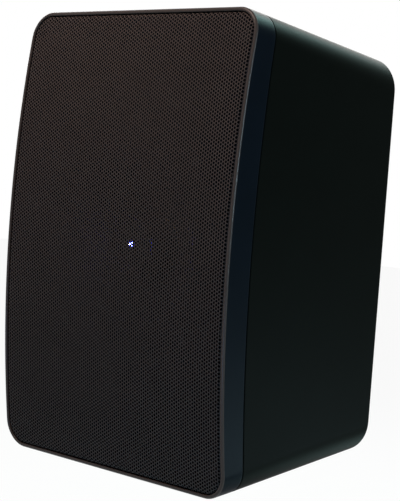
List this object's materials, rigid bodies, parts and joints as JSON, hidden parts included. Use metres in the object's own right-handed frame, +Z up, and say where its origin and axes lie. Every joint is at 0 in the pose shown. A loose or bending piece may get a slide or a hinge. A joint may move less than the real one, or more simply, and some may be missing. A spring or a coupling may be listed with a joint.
{
  "type": "wall speaker",
  "caption": "Tapered black wall loudspeaker with a bowed perforated steel grille, a coaxial driver behind it, a recessed rear connector bay and threaded bracket points.",
  "frame": {"origin": "middle of the bracket points, on the flat back of the cabinet", "axes": "+X to the right as seen from the front, +Y out of the flat back towards the wall, +Z up; the grille faces -Y"},
  "size_m": [0.2, 0.152, 0.285],
  "materials": {
    "cabinet_plastic": "satin black moulded cabinet with a fine grain",
    "front_plastic": "satin black moulded front",
    "foam": "closed cell foam",
    "screw_steel": "black zinc plated",
    "grille_steel": "powder coated perforated steel, dark brown grey",
    "basket_metal": "black powder coat",
    "trim_plastic": "fine matte black",
    "surround_rubber": "smooth rubber roll",
    "cone_paper": "coated paper pulp",
    "spider_cloth": "resin treated cotton",
    "former_film": "amber film",
    "copper_wire": "enamelled copper",
    "motor_steel": "plated steel",
    "ferrite": "ceramic magnet",
    "magnet_plating": "nickel plated magnet",
    "strip_board": "laminate strip",
    "post_steel": "turned steel",
    "dome_cloth": "coated cloth",
    "led_lens": "clear lens of a lit lamp",
    "insert_brass": "turned brass",
    "socket_plastic": "dark glossy plastic",
    "block_plastic": "green plastic",
    "circuit_board": "solder resist",
    "capacitor_sleeve": "shrink sleeve",
    "transformer_core": "lacquered core",
    "heat_aluminium": "extruded aluminium",
    "plug_plastic": "natural nylon",
    "lead_sheath": "black sheath",
    "wool": "polyester fibre"
  },
  "bodies": {
    "root": {"cabinet": "cabinet_plastic", "baffle": "front_plastic", "baffle_seal": "foam", "baffle_screws": "screw_steel", "grille": "grille_steel", "driver_basket": "basket_metal", "driver_trim_ring": "trim_plastic", "driver_screws": "screw_steel", "woofer_surround": "surround_rubber", "woofer_spider": "spider_cloth", "woofer_top_plate": "motor_steel", "woofer_magnet": "ferrite", "woofer_yoke": "motor_steel", "terminal_strip": "strip_board", "tweeter_post": "post_steel", "post_nut": "screw_steel", "tweeter_lead": "lead_sheath", "tweeter_housing": "trim_plastic", "tweeter_yoke": "motor_steel", "tweeter_magnet": "magnet_plating", "tweeter_pole_plate": "motor_steel", "tweeter_guard": "trim_plastic", "status_led": "led_lens", "mount_inserts": "insert_brass", "connector_panel": "trim_plastic", "panel_gasket": "foam", "panel_screws": "screw_steel", "network_socket": "socket_plastic", "terminal_block": "block_plastic", "socket_board": "circuit_board", "amplifier_board": "circuit_board", "board_screws": "screw_steel", "board_capacitors": "capacitor_sleeve", "board_coils": "copper_wire", "board_transformer": "transformer_core", "heat_spreader": "heat_aluminium", "board_plugs": "plug_plastic", "speaker_lead": "lead_sheath", "socket_lead": "lead_sheath", "damping_wool": "wool"},
    "woofer": {"woofer_cone": "cone_paper", "coil_former": "former_film", "coil_winding": "copper_wire"},
    "tweeter": {"tweeter_diaphragm": "dome_cloth", "tweeter_coil": "copper_wire"}
  },
  "joints": [
    {"name": "woofer_travel", "type": "slide", "parent": "root", "child": "woofer", "axis": [0, 1, 0], "range_m": [-0.003, 0.003], "stiffness_N_per_m": 1100, "deforming": ["woofer_surround", "woofer_spider"]},
    {"name": "tweeter_travel", "type": "slide", "parent": "root", "child": "tweeter", "axis": [0, 1, 0], "range_m": [-0.0003, 0.0003], "stiffness_N_per_m": 600, "deforming": ["tweeter_diaphragm"]}
  ]
}
